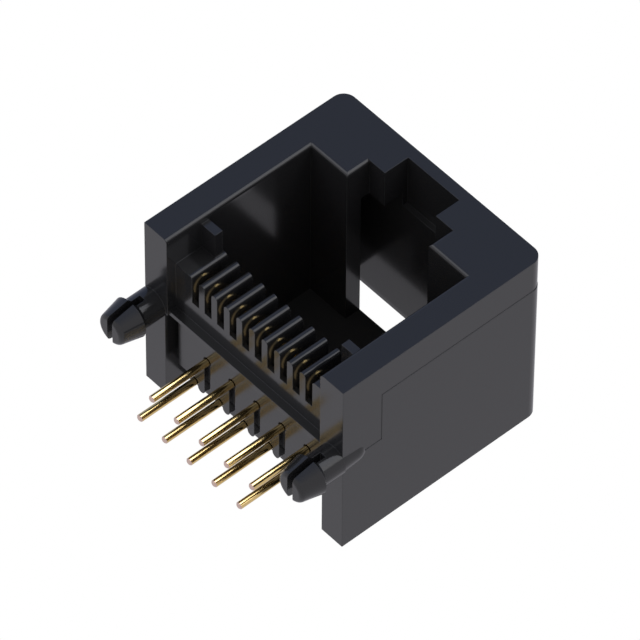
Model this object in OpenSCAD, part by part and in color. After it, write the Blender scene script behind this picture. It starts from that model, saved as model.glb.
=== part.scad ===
// Right-angle modular jack for a circuit board: a moulded housing with two split
// board pegs, a contact carrier pushed in from below, and ten formed wire contacts.
// The origin is on the board plane, midway between the pegs. +X is to the right when
// looking into the mouth, -Y points out of the mouth and +Z away from the board.

/* [Plug cavity] */
// Width of the cavity between the side walls
cavity_w = 12.4; // [12:0.1:15]
// Height of the cavity floor above the board
floor_z = 3.2; // [3:0.1:5]
// Height of the cavity from its floor to the two shoulders
plug_h = 7.2; // [6:0.1:9]
// Width of the latch slot between the shoulders
latch_w = 6.55; // [6:0.05:8]
// Height of the latch slot in the front wall
latch_h = 1.65; // [1.2:0.05:2.5]
// Width of the key slot between the catches
key_w = 4.1; // [3.5:0.1:5.5]
// Height of the key slot in the front wall
key_h = 1.7; // [1.2:0.1:2.5]
// Radius of the edges that lead the plug into the mouth
lead_in = 0.27; // [0.1:0.01:0.4]

/* [Housing] */
// Depth from the mouth to the rear face
housing_d = 12.9; // [12:0.1:18]
// Thickness of the side walls
side_wall = 1.85; // [1.5:0.05:2.5]
// Thickness of the wall above the key slot
top_wall = 0.75; // [0.5:0.05:1.5]
// Radius of the two corners away from the board
corner_r = 0.8; // [0.5:0.05:1.5]
// Depth of the two catches behind the mouth
catch_d = 2.7; // [1.5:0.1:4]
// Thickness of the roof over the latch chamber
roof_t = 1.1; // [0.8:0.05:1.6]
// Thickness of the shoulder shelves behind the catches
shelf_t = 1.05; // [0.8:0.05:1.5]
// Thickness of the rear wall
rear_wall = 0.9; // [0.6:0.05:1.5]
// Height of the opening that the rear wall leaves above the board
rear_gap = 1.65; // [1.2:0.05:2.4]
// Step by which each side wall is thinner beside the carrier
bay_step = 0.2; // [0.05:0.01:0.3]

/* [Mould parting line] */
// Step between the two mould halves on each side
parting_step = 0.03; // [0.02:0.01:0.1]
// Distance from the mouth to the parting line
parting_d = 2.3; // [1.5:0.1:4]
// Height at which the parting line turns back towards the peg
parting_z = 2.8; // [2.4:0.1:4]

/* [Comb and rails] */
// Distance from the mouth to the front of the comb
comb_setback = 2.33; // [2:0.01:3.5]
// Height of the comb's underside above the board
comb_standoff = 0.635; // [0.5:0.005:1.2]
// Length of the comb slots that are open to the board
comb_slot_l = 2.07; // [1.8:0.01:2.5]
// Thickness of the comb's floor plate behind those slots
comb_plate_t = 0.32; // [0.25:0.01:0.6]
// Length of that floor plate in front of the rib
comb_plate_l = 1.47; // [0.8:0.01:1.6]
// Thickness of the rib behind the comb
rib_t = 0.3; // [0.2:0.05:0.6]
// Height of the rib's foot above the board
rib_standoff = 0.12; // [0.05:0.01:0.3]
// Space on each side of a wire in its comb slot
comb_clear = 0.05; // [0.03:0.005:0.12]
// Width of the side rails that guide the plug
rail_w = 1.1; // [0.6:0.1:1.2]
// Height of the side rails
rail_h = 0.55; // [0.4:0.05:0.7]
// Height of the rails' underside above the board
rail_z = 2.5; // [2.2:0.1:2.6]
// Distance from the mouth to the front of the rails
rail_setback = 0.5; // [0.3:0.1:1.5]

/* [Board pegs] */
// Distance from the mouth to the peg axes
peg_setback = 6; // [5:0.1:7.5]
// Distance from the outer side face to the peg axis
peg_inset = 0.72; // [0.5:0.01:0.9]
// Diameter of the peg's neck in the board
peg_d = 1.96; // [1.5:0.02:2.4]
// Largest diameter of the barb
barb_d = 2.52; // [2:0.02:3]
// Length of the neck below the housing
neck_l = 1.4; // [1:0.05:2.4]
// Length of the barb's shoulder
barb_back_l = 0.25; // [0.15:0.05:0.5]
// Length from the barb's largest diameter to the peg's tip
barb_l = 1.5; // [1:0.05:2]
// Slope of the barb's taper
barb_taper = 12; // [6:1:16]
// Rounding at the peg's tip
peg_tip_r = 0.3; // [0.1:0.02:0.4]
// Width of the split between the two prongs
split_w = 0.42; // [0.3:0.02:0.8]
// Length of the solid neck above the split
split_setback = 0.8; // [0.7:0.05:1]
// Diameter of the boss that carries the peg on the side face, at the board
boss_d = 1.84; // [1.5:0.02:2.3]
// Diameter of the boss where its round end starts
boss_end_d = 1.72; // [1.4:0.02:2.3]
// Height of that boss above the board
boss_h = 2; // [1.5:0.1:2.6]

/* [Contacts] */
// Number of contacts
contacts = 10; // [4:2:10]
// Spacing of the contacts
pitch = 1.02; // [0.95:0.01:1.1]
// Diameter of the wire
wire_d = 0.45; // [0.35:0.01:0.5]
// Length of the solder tails below the board plane
tail_l = 3.5; // [2.5:0.1:5]
// Chamfer at the cut end of a tail
tail_edge = 0.06; // [0.02:0.01:0.1]
// Spacing of the two rows of tails
row_pitch = 2.54; // [2:0.02:3]
// Distance from the carrier's front to the front row of tails
row_setback = 1.98; // [1.5:0.01:2.5]
// Distance from the front of the comb to the bends of the wires
bend_setback = 0.72; // [0.3:0.02:0.9]
// Bend radius of a wire at the front of the comb
spring_bend_r = 0.5; // [0.45:0.01:0.6]
// Slope of the spring beams
beam_slope = 28; // [24:1:29]
// Distance from the beams' free ends to the rear wall
beam_gap = 1.7; // [1:0.1:3]

/* [Contact carrier] */
// Height of the carrier's underside above the board
carrier_standoff = 0.55; // [0.4:0.05:0.7]
// Space between the carrier and each side wall
carrier_side_gap = 0.46; // [0.1:0.02:0.6]
// Space round the wires in the carrier
carrier_clear = 0.02; // [0.01:0.005:0.04]
// Length of the fins between the rear tails
fin_l = 0.75; // [0.4:0.05:0.8]
// Depth of the grooves behind the front tails
groove_d = 0.35; // [0.2:0.05:0.5]
// Extra space round a tail where it leaves the carrier
tail_relief = 0.08; // [0.05:0.01:0.12]
// Depth of that relief
tail_relief_d = 0.12; // [0.05:0.01:0.2]

/* [Hidden] */
$fn = 64;
// Overrun of a cut past the face that it leaves
over = 1;

// Levels above the board
shoulder_z = floor_z + plug_h;
catch_z = shoulder_z + latch_h;
key_top_z = catch_z + key_h;
housing_h = key_top_z + top_wall;
shelf_z = shoulder_z + shelf_t;
chamber_z = housing_h - roof_t;
comb_plate_z = comb_standoff + comb_plate_t;

// Places along the depth
front_y = -peg_setback;
rear_y = front_y + housing_d;
rear_wall_y = rear_y - rear_wall;
comb_y = front_y + comb_setback;
comb_plate_y = comb_y + comb_slot_l;
rib_y = comb_plate_y + comb_plate_l;
carrier_y = rib_y + rib_t;
front_row_y = carrier_y + row_setback;
rear_row_y = front_row_y + row_pitch;
carrier_rear_y = rear_row_y - wire_d / 2 - carrier_clear;

// Places across the width
housing_w = cavity_w + 2 * side_wall;
peg_x = housing_w / 2 - peg_inset;
bay_w = cavity_w + 2 * bay_step;
carrier_w = bay_w - 2 * carrier_side_gap;
slot_w = wire_d + 2 * comb_clear;
tooth_t = pitch - slot_w;
groove_w = wire_d + 2 * carrier_clear;
fin_t = pitch - groove_w;

// The wire's own line, in the plane of one contact
run_z = comb_plate_z + carrier_clear + wire_d / 2;
tail_top_z = carrier_standoff - carrier_clear;
tail_bend_r = run_z - tail_top_z;
bend_y = comb_y + bend_setback + wire_d / 2 + spring_bend_r;
beam_y = bend_y - spring_bend_r * sin(beam_slope);
beam_l = (rear_wall_y - beam_gap - beam_y) / cos(beam_slope);

function contact_x(n) = (n - (contacts + 1) / 2) * pitch;
function in_front_row(n) = n % 2 == 0;
function tail_y(n) = in_front_row(n) ? front_row_y : rear_row_y;

// Extrudes a profile, drawn in X and Z, from y0 to y1
module along_y(y0, y1) {
    translate([0, y1, 0])
        rotate([90, 0, 0])
            linear_extrude(y1 - y0)
                children();
}

// A block centred on X = 0, between two corners in Y and Z
module centred_block(w, y0, y1, z0, z1) {
    translate([-w / 2, y0, z0])
        cube([w, y1 - y0, z1 - z0]);
}

// The housing's section: a flat board side and two rounded corners
module body_profile(w) {
    translate([-w / 2, 0])
        square([w, housing_h - corner_r]);
    translate([corner_r - w / 2, 0])
        square([w - 2 * corner_r, housing_h]);
    for (side = [-1, 1])
        translate([side * (w / 2 - corner_r), housing_h - corner_r])
            circle(r = corner_r);
}

// The moulded block, with the step that the two mould halves leave on its sides
module body_block() {
    along_y(front_y, rear_y)
        body_profile(housing_w - 2 * parting_step);
    difference() {
        along_y(front_y + parting_d, rear_y)
            body_profile(housing_w);
        centred_block(housing_w + 2 * over, front_y, 0, -over, parting_z);
    }
}

// A round lead-in on the sides of a slot that is w wide, in plan
module lead_in_plan(w) {
    wide = w / 2 + lead_in;
    difference() {
        translate([-wide, front_y - over])
            square([2 * wide, over + lead_in]);
        for (side = [-1, 1])
            translate([side * wide, front_y + lead_in])
                circle(r = lead_in);
    }
}

// A round lead-in under a ceiling, in depth and height
module lead_in_side(ceiling_z) {
    difference() {
        translate([front_y - over, -over])
            square([over + lead_in, ceiling_z + lead_in + over]);
        translate([front_y + lead_in, ceiling_z + lead_in])
            circle(r = lead_in);
    }
}

// The mitred lead-in round the cavity, and the one on the latch slot's sides
module mouth_lead_in() {
    intersection() {
        translate([0, 0, -over])
            linear_extrude(shoulder_z + lead_in + over)
                lead_in_plan(cavity_w);
        translate([-housing_w / 2, 0, 0])
            rotate([90, 0, 90])
                linear_extrude(housing_w)
                    lead_in_side(shoulder_z);
    }
    translate([0, 0, shoulder_z - over])
        linear_extrude(latch_h + over)
            lead_in_plan(latch_w);
}

// Everything that the plug and its latch pass through
module plug_space() {
    centred_block(cavity_w, front_y - over, rear_y + over, -over, shoulder_z);
    centred_block(latch_w, front_y - over, rear_y + over, shoulder_z - over, shelf_z + over / 2);
    centred_block(latch_w, front_y - over, front_y + catch_d, shoulder_z - over, catch_z);
    centred_block(key_w, front_y - over, front_y + catch_d + over, shoulder_z, key_top_z);
    centred_block(cavity_w, front_y + catch_d, rear_y + over, shelf_z, chamber_z);
    mouth_lead_in();
}

// Teeth with round noses between the wires, and a solid block at each end of the row
module comb_plan() {
    nose_y = comb_y + tooth_t / 2;
    row_half = contacts / 2 * pitch;
    for (n = [0:contacts]) {
        x = contact_x(n + 0.5);
        translate([x, nose_y])
            circle(d = tooth_t);
        translate([x - tooth_t / 2, nose_y])
            square([tooth_t, carrier_y - nose_y]);
    }
    for (side = [0, 1])
        mirror([side, 0])
            translate([row_half, comb_y])
                square([cavity_w / 2 - row_half, carrier_y - comb_y]);
}

module comb() {
    translate([0, 0, comb_standoff])
        linear_extrude(floor_z - comb_standoff)
            comb_plan();
    centred_block(cavity_w, comb_plate_y, carrier_y, comb_standoff, comb_plate_z);
    centred_block(cavity_w, rib_y, carrier_y, rib_standoff, comb_standoff);
}

module rails() {
    for (side = [0, 1])
        mirror([side, 0, 0])
            translate([cavity_w / 2 - rail_w, front_y + rail_setback, rail_z])
                cube([rail_w, rear_y - front_y - rail_setback, rail_h]);
}

// One split peg below the board plane, with a tip rounded tangent to the barb's taper
module peg() {
    barb_z = -neck_l - barb_back_l;
    tip_z = barb_z - barb_l;
    round_z = tip_z + peg_tip_r;
    taper_end_z = round_z - peg_tip_r * sin(barb_taper);
    taper_end_r = barb_d / 2 - (barb_z - taper_end_z) * tan(barb_taper);
    tip_flat_r = taper_end_r - peg_tip_r * cos(barb_taper);
    difference() {
        rotate_extrude() {
            polygon([[0, 0], [peg_d / 2, 0], [peg_d / 2, -neck_l], [barb_d / 2, barb_z],
                     [taper_end_r, taper_end_z], [tip_flat_r, round_z], [tip_flat_r, tip_z],
                     [0, tip_z]]);
            translate([tip_flat_r, round_z])
                circle(r = peg_tip_r);
        }
        translate([-split_w / 2, -barb_d, tip_z - over])
            cube([split_w, 2 * barb_d, over - split_setback - tip_z]);
    }
}

// The boss on the side face that carries the peg, with a moulded taper and a round end
module peg_boss() {
    dome_z = boss_h - boss_end_d / 2;
    cylinder(d1 = boss_d, d2 = boss_end_d, h = dome_z);
    translate([0, 0, dome_z])
        sphere(d = boss_end_d);
}

module housing() {
    color([0.09, 0.09, 0.1]) {
        difference() {
            union() {
                body_block();
                for (side = [-1, 1])
                    translate([side * peg_x, 0, 0])
                        peg_boss();
            }
            plug_space();
            centred_block(bay_w, carrier_y, rear_y + over, -over, rail_z);
        }
        centred_block(bay_w, rear_wall_y, rear_y, rear_gap, shelf_z);
        comb();
        rails();
        for (side = [-1, 1])
            translate([side * peg_x, 0, 0])
                peg();
    }
}

// A bent length of wire about the origin, from the X axis through a sweep
module wire_bend(r, d, sweep) {
    rotate_extrude(angle = sweep)
        translate([r, 0])
            circle(d = d);
}

// The wire inside the carrier: the bend above the tail and the forward run
module anchored_wire(n, d, run_end_y) {
    run_y = tail_y(n) - tail_bend_r;
    translate([0, run_y, tail_top_z])
        rotate([90, 0, 90])
            wire_bend(tail_bend_r, d, 90);
    translate([0, run_y, run_z])
        rotate([90, 0, 0])
            cylinder(d = d, h = run_y - run_end_y);
}

// The free spring: the bend at the front of the comb and the sloping beam
module spring() {
    translate([0, bend_y, run_z + spring_bend_r])
        rotate([90, 0, 90])
            rotate([0, 0, 90 + beam_slope]) {
                wire_bend(spring_bend_r, wire_d, 180 - beam_slope);
                translate([spring_bend_r, 0, 0])
                    rotate([90, 0, 0])
                        cylinder(d = wire_d, h = beam_l);
            }
}

module solder_tail(n) {
    translate([0, tail_y(n), tail_edge - tail_l])
        cylinder(d = wire_d, h = tail_top_z + tail_l - tail_edge);
    translate([0, tail_y(n), -tail_l])
        cylinder(d1 = wire_d - 2 * tail_edge, d2 = wire_d, h = tail_edge);
}

module contact(n) {
    color([0.85, 0.68, 0.32])
        translate([contact_x(n), 0, 0]) {
            solder_tail(n);
            anchored_wire(n, wire_d, bend_y);
            spring();
        }
}

// The groove behind a front tail, open to the board and to the rear
module tail_groove(n) {
    translate([contact_x(n) - groove_w / 2, front_row_y, -over])
        cube([groove_w, carrier_rear_y + fin_l + over - front_row_y, over + carrier_standoff + groove_d]);
}

// A fin with a half-round end, on the rear of the carrier beside a front tail's groove
module fin(n) {
    square_l = carrier_rear_y + fin_l - fin_t / 2 - carrier_y;
    translate([contact_x(n) - groove_w / 2 - fin_t / 2, carrier_y, carrier_standoff])
        linear_extrude(rail_z - carrier_standoff) {
            translate([-fin_t / 2, 0])
                square([fin_t, square_l]);
            translate([0, square_l])
                circle(d = fin_t);
        }
}

module contact_carrier() {
    color([0.11, 0.11, 0.12])
        difference() {
            union() {
                centred_block(carrier_w, carrier_y, carrier_rear_y, carrier_standoff, rail_z);
                for (n = [1:contacts])
                    if (in_front_row(n))
                        fin(n);
            }
            for (n = [1:contacts]) {
                translate([contact_x(n), 0, 0])
                    anchored_wire(n, wire_d + 2 * carrier_clear, carrier_y - over);
                translate([contact_x(n), tail_y(n), -over])
                    cylinder(d = wire_d + 2 * tail_relief, h = over + carrier_standoff + tail_relief_d);
                if (in_front_row(n))
                    tail_groove(n);
            }
        }
}

housing();
contact_carrier();
for (n = [1:contacts])
    contact(n);
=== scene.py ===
"""Looks for a right-angle modular jack: moulded black plastic, gold-plated wire contacts and a pale studio."""

import math

import bpy
from mathutils import Matrix, Vector


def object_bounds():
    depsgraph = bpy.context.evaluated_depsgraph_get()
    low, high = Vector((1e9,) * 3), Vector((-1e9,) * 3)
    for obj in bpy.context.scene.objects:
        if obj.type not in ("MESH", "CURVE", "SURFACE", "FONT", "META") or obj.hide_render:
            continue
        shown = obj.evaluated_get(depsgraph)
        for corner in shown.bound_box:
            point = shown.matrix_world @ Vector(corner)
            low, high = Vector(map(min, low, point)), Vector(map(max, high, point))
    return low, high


MM = 0.001
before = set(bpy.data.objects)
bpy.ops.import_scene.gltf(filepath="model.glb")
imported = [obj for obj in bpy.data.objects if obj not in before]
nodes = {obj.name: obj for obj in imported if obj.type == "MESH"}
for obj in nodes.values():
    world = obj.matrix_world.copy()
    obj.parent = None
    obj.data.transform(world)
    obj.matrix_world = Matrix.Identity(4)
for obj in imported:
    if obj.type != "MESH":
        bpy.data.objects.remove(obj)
cad_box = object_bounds()
CONTACTS = sorted(n for n in nodes if n.startswith("contact_") and n != "contact_carrier")

# The photograph's view, fitted to it: image axes in the part's frame, the point at the image's centre, the frame's
# width there and the camera's distance from it
IMAGE_RIGHT = Vector((0.6662, -0.0052, 0.7458))
IMAGE_DOWN = Vector((0.572, 0.6453, -0.5064))
VIEW_TARGET = Vector((0.947, -2.119, 4.696)) * MM
VIEW_WIDTH = 34.47 * MM
VIEW_DISTANCE = 0.457
SENSOR_WIDTH = 36.0
CLIP_START, CLIP_END = 0.1, 20.0

# Moulded plastic: colour, and the roughness and edge rounding of the housing and of the finer carrier
PLASTIC_BLACK = (0.016, 0.016, 0.0165, 1)
PLASTIC_IOR = 1.5
HOUSING_ROUGHNESS, HOUSING_EDGE = 0.14, 0.035 * MM
CARRIER_ROUGHNESS, CARRIER_EDGE = 0.16, 0.03 * MM
EDGE_SAMPLES = 8

# Its texture: how far the flow marks vary the roughness, and the size and depth of the marks and of the fine ripple
GLOSSIER, DULLER = 0.035, 0.045
FLOW = {"Scale": 420.0, "Detail": 3.0, "Roughness": 0.55}
RIPPLE = {"Scale": 2600.0, "Detail": 2.0}
RIPPLE_DEPTH = {"Strength": 0.02, "Distance": 0.02 * MM}

# Painted shade: the plug cavity gets a lower specular level, which dims the reflections that this open studio
# throws into it: centre, half-size, where in it the change starts, and the levels
CAVITY_CENTRE = Vector((0, 0.5, 8.65)) * MM
CAVITY_HALF = Vector((6.6, 6.2, 5.25)) * MM
CAVITY_RIM = 0.97
CAVITY_SHADE_LEVEL = 0.24
OUTER_SHINE = 0.5

# Wire: ramp stops for the bare cut ends and the gold, how high the ends reach, the draw marks along the tails, the
# roughness that they vary, and the height from which the springs are duller, with the factor there
CUT_END = (0.5, (0.80, 0.60, 0.50, 1))
GOLD = (0.9, (0.90, 0.66, 0.28, 1))
CUT_HEIGHT = 0.1 * MM
DRAW_STRETCH = (1, 1, 0.02)
DRAW_MARKS = {"Scale": 4000.0, "Detail": 1.0}
WIRE_ROUGHNESS = (0.08, 0.14)
SPRING_HEIGHT = (0.5 * MM, 1.0 * MM)
SPRING_FACTOR = (1.0, 1.2)

# Floor: its size, and how its grey fades to white with the distance from the part
FLOOR_SIZE = 6.0
FLOOR_FADE = (0.05, 0.8)
FLOOR_GREY = (0.84, 1.0)

# Tent: the side that the front face mirrors to the camera, ramp stops for what is mirrored away from it and at it, and
# the strength of the white fill
BLUE_SIDE = Vector((-0.475, -0.76, 0.44))
TENT_BACK = (0.1, (0.595, 0.585, 0.63, 1))
TENT_FRONT = (0.9, (0.23, 0.30, 0.50, 1))
WHITE = (1, 1, 1, 1)
FILL_STRENGTH = 1.1

# Soft boxes: direction from the part, radiance, and half-width and half-height as seen from the part
SOFT_BOXES = {
    "high_box": (Vector((0.50, -0.72, 0.48)), 1.5, math.radians(26), math.radians(7)),
    "low_box": (Vector((-0.475, -0.70, -0.53)), 1.1, math.radians(8), math.radians(26)),
}
WIRE_BOX = (Vector((-0.12, -0.89, 0.44)), 3.2, math.radians(22), math.radians(22))
BOX_DISTANCE = 0.4


def node_tree(name):
    """A new material and its emptied tree."""
    material = bpy.data.materials.new(name)
    material.use_nodes = True
    tree = material.node_tree
    tree.nodes.clear()
    return material, tree


def add(tree, kind, **values):
    """Adds a shader node. A value named like a socket sets that socket, and any other sets a property."""
    node = tree.nodes.new(kind)
    for key, value in values.items():
        socket = node.inputs.get(key.replace("_", " ").title()) or node.inputs.get(key)
        if socket is not None:
            socket.default_value = value
        else:
            setattr(node, key, value)
    return node


def mapped(tree, value, source, target):
    """A value carried from its source range to the target range, and held within it."""
    node = add(tree, "ShaderNodeMapRange", clamp=True, From_Min=source[0], From_Max=source[1],
               To_Min=target[0], To_Max=target[1])
    tree.links.new(value, node.inputs["Value"])
    return node.outputs["Result"]


def two_tone(tree, value, *stops):
    """A colour from a ramp between two stops, each a position and a colour."""
    node = add(tree, "ShaderNodeValToRGB")
    for element, (position, colour) in zip(node.color_ramp.elements, stops):
        element.position = position
        element.color = colour
    tree.links.new(value, node.inputs["Fac"])
    return node.outputs["Color"]


def cavity_reach(tree, place):
    """How far out in the cavity's box a point lies: 0 at the centre and 1 at its sides."""
    link = tree.links.new
    centred = add(tree, "ShaderNodeVectorMath", operation="SUBTRACT")
    centred.inputs[1].default_value = CAVITY_CENTRE
    unit = add(tree, "ShaderNodeVectorMath", operation="DIVIDE")
    unit.inputs[1].default_value = CAVITY_HALF
    reach = add(tree, "ShaderNodeVectorMath", operation="ABSOLUTE")
    apart = add(tree, "ShaderNodeSeparateXYZ")
    plan = add(tree, "ShaderNodeMath", operation="MAXIMUM")
    furthest = add(tree, "ShaderNodeMath", operation="MAXIMUM")
    link(place, centred.inputs[0])
    link(centred.outputs["Vector"], unit.inputs[0])
    link(unit.outputs["Vector"], reach.inputs[0])
    link(reach.outputs["Vector"], apart.inputs["Vector"])
    link(apart.outputs["X"], plan.inputs[0])
    link(apart.outputs["Y"], plan.inputs[1])
    link(plan.outputs["Value"], furthest.inputs[0])
    link(apart.outputs["Z"], furthest.inputs[1])
    return furthest.outputs["Value"]


def moulded_plastic(name, roughness, edge):
    """Glossy black plastic with rounded edges, faint flow marks, a fine ripple and painted shade in the cavity, as a
    lower specular level there.
    """
    material, tree = node_tree(name)
    link = tree.links.new
    out = add(tree, "ShaderNodeOutputMaterial")
    shader = add(tree, "ShaderNodeBsdfPrincipled", Base_Color=PLASTIC_BLACK, IOR=PLASTIC_IOR)
    place = add(tree, "ShaderNodeTexCoord").outputs["Object"]
    flow = add(tree, "ShaderNodeTexNoise", **FLOW)
    ripple = add(tree, "ShaderNodeTexNoise", **RIPPLE)
    rounding = add(tree, "ShaderNodeBevel", samples=EDGE_SAMPLES, Radius=edge)
    bump = add(tree, "ShaderNodeBump", **RIPPLE_DEPTH)
    link(place, flow.inputs["Vector"])
    link(place, ripple.inputs["Vector"])
    gloss = mapped(tree, flow.outputs["Fac"], (0, 1), (roughness - GLOSSIER, roughness + DULLER))
    # Painted shade: a lower specular level inside the plug cavity
    painted_cavity_shade = mapped(tree, cavity_reach(tree, place), (CAVITY_RIM, 1), (CAVITY_SHADE_LEVEL, OUTER_SHINE))
    link(gloss, shader.inputs["Roughness"])
    link(painted_cavity_shade, shader.inputs["Specular IOR Level"])
    link(ripple.outputs["Fac"], bump.inputs["Height"])
    link(rounding.outputs["Normal"], bump.inputs["Normal"])
    link(bump.outputs["Normal"], shader.inputs["Normal"])
    link(shader.outputs["BSDF"], out.inputs["Surface"])
    return material


def gold_wire(name):
    """Polished gold-plated wire with faint draw marks, bare bronze cut ends and slightly duller springs."""
    material, tree = node_tree(name)
    link = tree.links.new
    out = add(tree, "ShaderNodeOutputMaterial")
    shader = add(tree, "ShaderNodeBsdfPrincipled", Metallic=1.0)
    place = add(tree, "ShaderNodeTexCoord").outputs["Object"]
    apart = add(tree, "ShaderNodeSeparateXYZ")
    height = apart.outputs["Z"]
    along = add(tree, "ShaderNodeMapping", Scale=DRAW_STRETCH)
    marks = add(tree, "ShaderNodeTexNoise", **DRAW_MARKS)
    finish = add(tree, "ShaderNodeMath", operation="MULTIPLY")
    link(place, apart.inputs["Vector"])
    link(place, along.inputs["Vector"])
    link(along.outputs["Vector"], marks.inputs["Vector"])
    tip = cad_box[0].z
    plated = mapped(tree, height, (tip, tip + CUT_HEIGHT), (0, 1))
    link(two_tone(tree, plated, CUT_END, GOLD), shader.inputs["Base Color"])
    link(mapped(tree, marks.outputs["Fac"], (0, 1), WIRE_ROUGHNESS), finish.inputs[0])
    link(mapped(tree, height, SPRING_HEIGHT, SPRING_FACTOR), finish.inputs[1])
    link(finish.outputs["Value"], shader.inputs["Roughness"])
    link(shader.outputs["BSDF"], out.inputs["Surface"])
    return material


def dress(node, material):
    """Gives a CAD node its material."""
    piece = nodes[node]
    piece.data.materials.clear()
    piece.data.materials.append(material)


def pale_floor():
    """A pale floor under the tails that shows from above only."""
    bpy.ops.mesh.primitive_plane_add(size=FLOOR_SIZE, location=(0, 0, cad_box[0].z))
    floor = bpy.context.object
    floor.name = "floor"
    material, tree = node_tree("floor_paper")
    link = tree.links.new
    out = add(tree, "ShaderNodeOutputMaterial")
    paper = add(tree, "ShaderNodeBsdfDiffuse")
    place = add(tree, "ShaderNodeTexCoord")
    far = add(tree, "ShaderNodeVectorMath", operation="LENGTH")
    clear = add(tree, "ShaderNodeBsdfTransparent")
    geometry = add(tree, "ShaderNodeNewGeometry")
    mix = add(tree, "ShaderNodeMixShader")
    link(place.outputs["Object"], far.inputs[0])
    link(mapped(tree, far.outputs["Value"], FLOOR_FADE, FLOOR_GREY), paper.inputs["Color"])
    link(geometry.outputs["Backfacing"], mix.inputs["Fac"])
    link(paper.outputs["BSDF"], mix.inputs[1])
    link(clear.outputs["BSDF"], mix.inputs[2])
    link(mix.outputs["Shader"], out.inputs["Surface"])
    floor.data.materials.append(material)
    floor.visible_glossy = False
    floor.visible_diffuse = False
    floor.visible_shadow = False


def studio_world():
    """A white tent: an even white fill, with reflections brighter behind the part than at the bluish mouth side."""
    world = bpy.data.worlds.new("tent")
    bpy.context.scene.world = world
    world.use_nodes = True
    tree = world.node_tree
    tree.nodes.clear()
    link = tree.links.new
    out = add(tree, "ShaderNodeOutputWorld")
    path = add(tree, "ShaderNodeLightPath")
    place = add(tree, "ShaderNodeTexCoord")
    side = add(tree, "ShaderNodeVectorMath", operation="DOT_PRODUCT")
    side.inputs[1].default_value = BLUE_SIDE.normalized()
    seen = add(tree, "ShaderNodeBackground", Color=WHITE, Strength=1.0)
    mirrored = add(tree, "ShaderNodeBackground", Strength=1.0)
    fill = add(tree, "ShaderNodeBackground", Color=WHITE, Strength=FILL_STRENGTH)
    inner = add(tree, "ShaderNodeMixShader")
    mix = add(tree, "ShaderNodeMixShader")
    link(place.outputs["Generated"], side.inputs[0])
    link(two_tone(tree, side.outputs["Value"], TENT_BACK, TENT_FRONT), mirrored.inputs["Color"])
    link(path.outputs["Is Diffuse Ray"], inner.inputs["Fac"])
    link(mirrored.outputs["Background"], inner.inputs[1])
    link(fill.outputs["Background"], inner.inputs[2])
    link(path.outputs["Is Camera Ray"], mix.inputs["Fac"])
    link(inner.outputs["Shader"], mix.inputs[1])
    link(seen.outputs["Background"], mix.inputs[2])
    link(mix.outputs["Shader"], out.inputs["Surface"])


def soft_box(name, direction, radiance, half_width, half_height):
    """An oval lamp in the tent that faces the part."""
    away = direction.normalized()
    data = bpy.data.lights.new(name, "AREA")
    data.shape = "ELLIPSE"
    data.size = 2 * BOX_DISTANCE * math.tan(half_width)
    data.size_y = 2 * BOX_DISTANCE * math.tan(half_height)
    area = math.pi * data.size * data.size_y / 4
    data.energy = radiance * math.pi * area
    lamp = bpy.data.objects.new(name, data)
    lamp.location = away * BOX_DISTANCE
    lamp.rotation_euler = away.to_track_quat("Z", "Y").to_euler()
    bpy.context.scene.collection.objects.link(lamp)
    return lamp


def soft_boxes():
    """Lamps that give the edges their bright lines, and one that lights the wires alone."""
    for name, values in SOFT_BOXES.items():
        soft_box(name, *values)
    lit = bpy.data.collections.new("lit_by_wire_box")
    for name in CONTACTS:
        lit.objects.link(nodes[name])
    soft_box("wire_box", *WIRE_BOX).light_linking.receiver_collection = lit


def photo_camera():
    """The camera at the photograph's viewing angle, with a long lens."""
    right = IMAGE_RIGHT.normalized()
    down = (IMAGE_DOWN - right * IMAGE_DOWN.dot(right)).normalized()
    ahead = right.cross(down)
    data = bpy.data.cameras.new("camera")
    data.sensor_width = SENSOR_WIDTH
    data.lens = SENSOR_WIDTH * VIEW_DISTANCE / VIEW_WIDTH
    data.clip_start = CLIP_START
    data.clip_end = CLIP_END
    camera = bpy.data.objects.new("camera", data)
    bpy.context.scene.collection.objects.link(camera)
    turn = Matrix((right, -down, -ahead)).transposed().to_4x4()
    camera.matrix_world = Matrix.Translation(VIEW_TARGET - ahead * VIEW_DISTANCE) @ turn
    bpy.context.scene.camera = camera


dress("housing", moulded_plastic("housing_plastic", HOUSING_ROUGHNESS, HOUSING_EDGE))
dress("contact_carrier", moulded_plastic("carrier_plastic", CARRIER_ROUGHNESS, CARRIER_EDGE))
gold = gold_wire("gold_plating")
for name in CONTACTS:
    dress(name, gold)

pale_floor()
studio_world()
soft_boxes()
photo_camera()
bpy.context.scene.view_settings.view_transform = "Standard"
